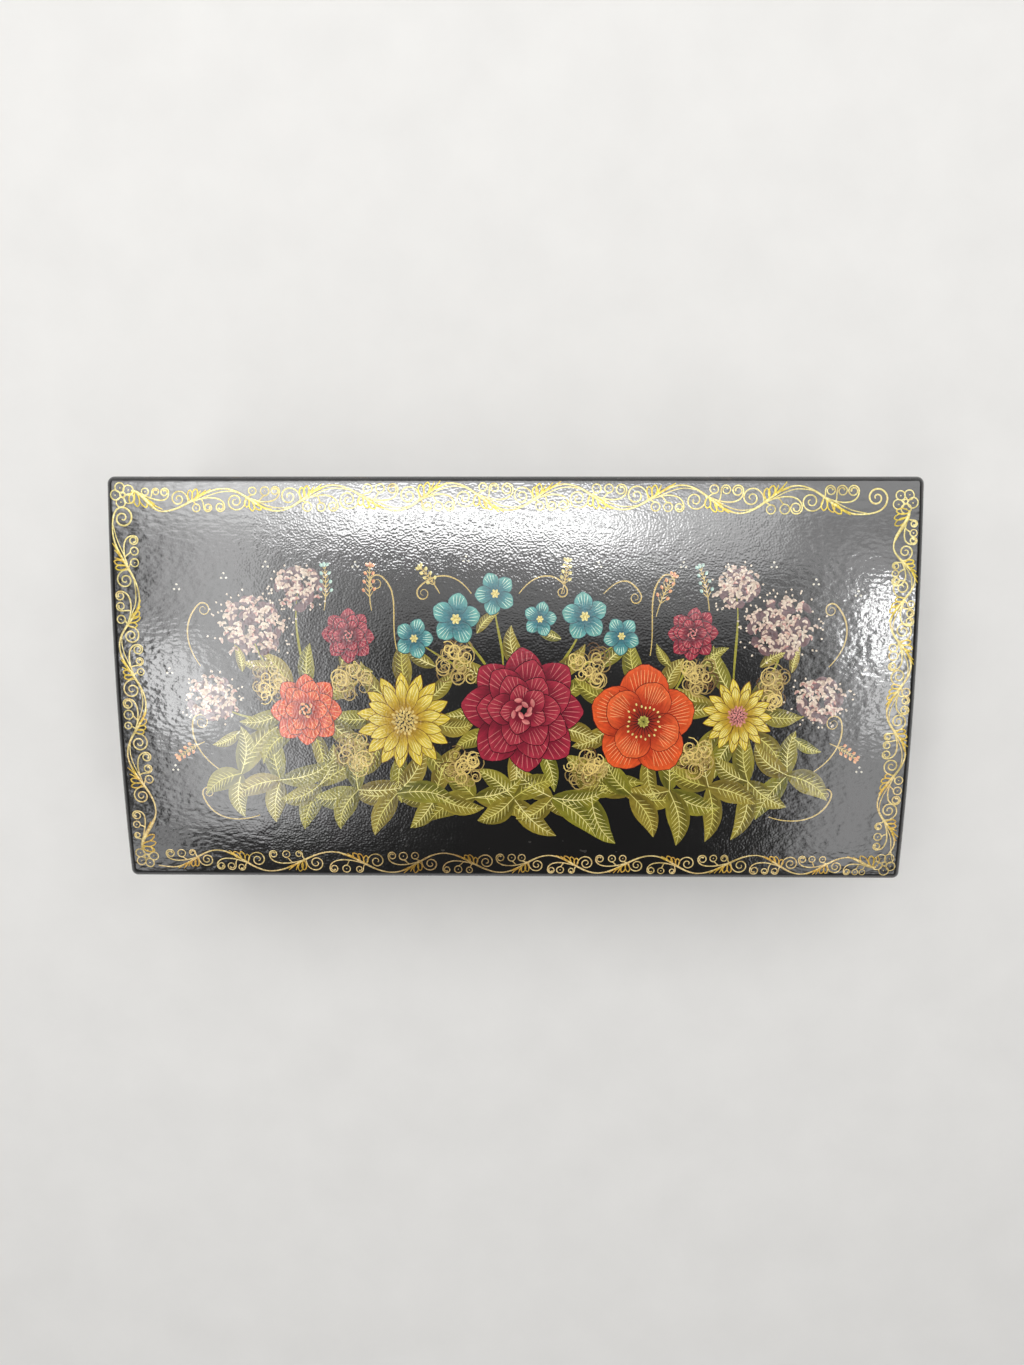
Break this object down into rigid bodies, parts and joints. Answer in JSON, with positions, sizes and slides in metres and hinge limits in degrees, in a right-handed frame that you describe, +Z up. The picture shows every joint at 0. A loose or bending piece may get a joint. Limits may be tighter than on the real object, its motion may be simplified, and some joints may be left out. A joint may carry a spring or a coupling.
{
  "type": "lacquered casket",
  "caption": "Long rectangular papier-mache casket with a gently arched, hinged lid, black lacquer outside, red inside, for keeping jewellery and small things.",
  "frame": {"origin": "middle of the casket's underside, on the table", "axes": "+Z up through the lid, +X along the casket's length, +Y towards the hinge, -Y the front"},
  "size_m": [0.16, 0.082, 0.0456],
  "materials": {
    "black_lacquer": "gloss",
    "red_lacquer": "gloss",
    "hinge_brass": "satin",
    "pin_steel": "satin",
    "gold_paint": "satin",
    "picture_paint": "gloss"
  },
  "bodies": {
    "case": {"bottom_board": "black_lacquer", "body_walls": "black_lacquer", "liner_front": "red_lacquer", "liner_rear": "red_lacquer", "liner_left": "red_lacquer", "liner_right": "red_lacquer", "case_knuckle_left": "hinge_brass", "case_knuckle_centre": "hinge_brass", "case_knuckle_right": "hinge_brass", "hinge_pin": "pin_steel"},
    "lid": {"lid_plate": "black_lacquer", "lid_rim": "black_lacquer", "lid_knuckle_left": "hinge_brass", "lid_knuckle_right": "hinge_brass"}
  },
  "joints": [
    {"name": "lid_hinge", "type": "hinge", "parent": "case", "child": "lid", "pos_m": [0, 0.0383, 0.0331], "axis": [-1, 0, 0], "range_deg": [0, 100]}
  ]
}
